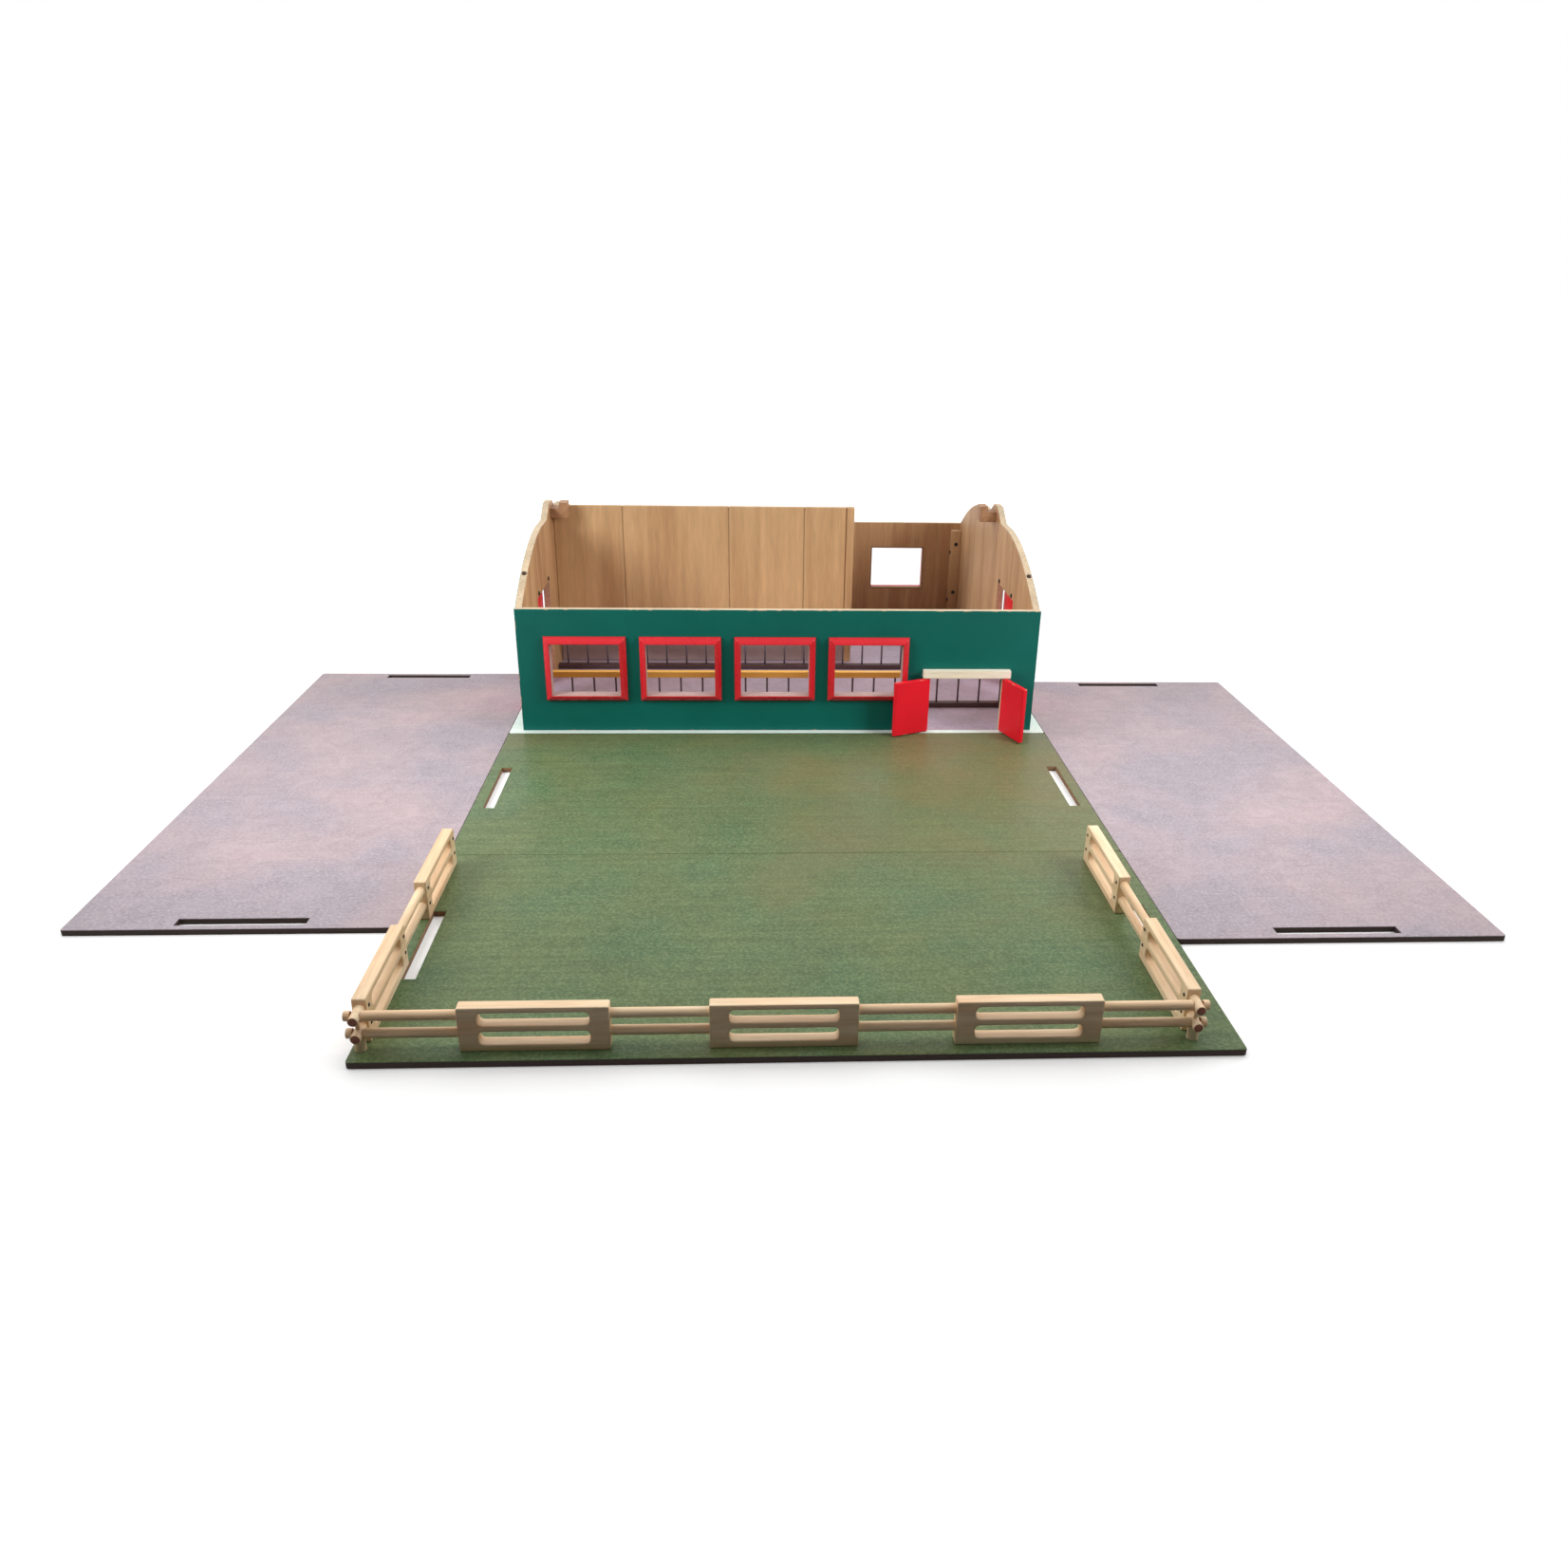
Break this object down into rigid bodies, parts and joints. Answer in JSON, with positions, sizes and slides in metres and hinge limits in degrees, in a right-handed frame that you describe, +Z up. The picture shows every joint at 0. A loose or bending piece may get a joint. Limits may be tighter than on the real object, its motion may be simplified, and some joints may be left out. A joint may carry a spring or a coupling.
{
  "type": "toy stable",
  "caption": "Wooden toy stable, roof off, with windows, swinging doors and feed fences, on a floor board, with loose pasture and yard boards round it and a loose rail fence.",
  "frame": {"origin": "on the ground, in the middle of the box round the whole set", "axes": "+X to the right along the front wall, +Y from the pasture towards the rear wall, +Z up"},
  "size_m": [1.303, 1.29, 0.2445],
  "materials": {
    "green_paint": "satin paint on board",
    "bare_board": "bare board",
    "red_paint": "satin paint on board",
    "pale_wood": "bare sanded wood",
    "dark_steel": "blackened steel",
    "dark_paint": "satin paint on wood",
    "yellow_paint": "satin paint on wood",
    "pasture_print": "satin printed board",
    "concrete_print": "satin printed board"
  },
  "bodies": {
    "stable": {"floor_board": "concrete_print", "front_wall": "green_paint", "rear_wall": "green_paint", "left_gable": "green_paint", "right_gable": "green_paint", "partition_planks": "bare_board", "partition_end_post": "bare_board", "partition_cleats": "bare_board", "corner_posts": "bare_board", "corner_screws": "dark_steel", "floor_screws": "dark_steel", "window_frame_1": "red_paint", "window_frame_2": "red_paint", "window_frame_3": "red_paint", "window_frame_4": "red_paint", "rear_window_frame": "red_paint", "front_lintel": "pale_wood", "left_lintel": "pale_wood", "right_lintel": "pale_wood", "lintel_screws": "dark_steel", "front_feed_curb": "dark_paint", "front_feed_bars": "dark_steel", "front_feed_beam": "yellow_paint", "rear_feed_curb": "dark_paint", "rear_feed_bars": "dark_steel", "rear_feed_beam": "yellow_paint", "roof_pegs": "dark_steel", "left_ridge_cradle": "bare_board", "right_ridge_cradle": "bare_board"},
    "front_left_leaf": {"front_left_leaf": "red_paint", "front_left_leaf_pins": "dark_steel"},
    "front_right_leaf": {"front_right_leaf": "red_paint", "front_right_leaf_pins": "dark_steel"},
    "left_gable_front_leaf": {"left_gable_front_leaf": "red_paint", "left_gable_front_leaf_pins": "dark_steel"},
    "left_gable_rear_leaf": {"left_gable_rear_leaf": "red_paint", "left_gable_rear_leaf_pins": "dark_steel"},
    "right_gable_front_leaf": {"right_gable_front_leaf": "red_paint", "right_gable_front_leaf_pins": "dark_steel"},
    "right_gable_rear_leaf": {"right_gable_rear_leaf": "red_paint", "right_gable_rear_leaf_pins": "dark_steel"},
    "rear_pasture": {"rear_pasture": "pasture_print"},
    "front_pasture": {"front_pasture": "pasture_print"},
    "left_yard": {"left_yard": "concrete_print"},
    "right_yard": {"right_yard": "concrete_print"},
    "fence": {"fence_front_left_board": "pale_wood", "fence_front_middle_board": "pale_wood", "fence_front_right_board": "pale_wood", "fence_left_near_board": "pale_wood", "fence_left_far_board": "pale_wood", "fence_right_near_board": "pale_wood", "fence_right_far_board": "pale_wood", "fence_front_rails": "pale_wood", "fence_left_rails": "pale_wood", "fence_right_rails": "pale_wood", "fence_corner_pegs": "pale_wood", "fence_nails": "dark_steel"}
  },
  "joints": [
    {"name": "front_left_leaf_hinge", "type": "hinge", "parent": "stable", "child": "front_left_leaf", "pos_m": [0.1885, 0.055, 0.0425], "axis": [0, 0, -1], "range_deg": [-155, 5]},
    {"name": "front_right_leaf_hinge", "type": "hinge", "parent": "stable", "child": "front_right_leaf", "pos_m": [0.2875, 0.055, 0.0425], "axis": [0, 0, 1], "range_deg": [-110, 60]},
    {"name": "left_gable_front_leaf_hinge", "type": "hinge", "parent": "stable", "child": "left_gable_front_leaf", "pos_m": [-0.3325, 0.1835, 0.0755], "axis": [0, 0, 1], "range_deg": [-175, 0]},
    {"name": "left_gable_rear_leaf_hinge", "type": "hinge", "parent": "stable", "child": "left_gable_rear_leaf", "pos_m": [-0.3325, 0.2905, 0.0755], "axis": [0, 0, -1], "range_deg": [0, 175]},
    {"name": "right_gable_front_leaf_hinge", "type": "hinge", "parent": "stable", "child": "right_gable_front_leaf", "pos_m": [0.3325, 0.1835, 0.0755], "axis": [0, 0, -1], "range_deg": [-175, 0]},
    {"name": "right_gable_rear_leaf_hinge", "type": "hinge", "parent": "stable", "child": "right_gable_rear_leaf", "pos_m": [0.3325, 0.2905, 0.0755], "axis": [0, 0, 1], "range_deg": [0, 175]},
    {"name": "left_yard_slide", "type": "slide", "parent": "stable", "child": "left_yard", "axis": [-1, 0, 0], "range_m": [0, 0.15]},
    {"name": "right_yard_slide", "type": "slide", "parent": "stable", "child": "right_yard", "axis": [1, 0, 0], "range_m": [0, 0.15]},
    {"name": "rear_pasture_slide", "type": "slide", "parent": "stable", "child": "rear_pasture", "axis": [0, -1, 0], "range_m": [0, 0.15]},
    {"name": "front_pasture_slide", "type": "slide", "parent": "rear_pasture", "child": "front_pasture", "axis": [0, -1, 0], "range_m": [0, 0.15]},
    {"name": "fence_lift", "type": "slide", "parent": "front_pasture", "child": "fence", "axis": [0, 0, 1], "range_m": [0, 0.08]}
  ]
}
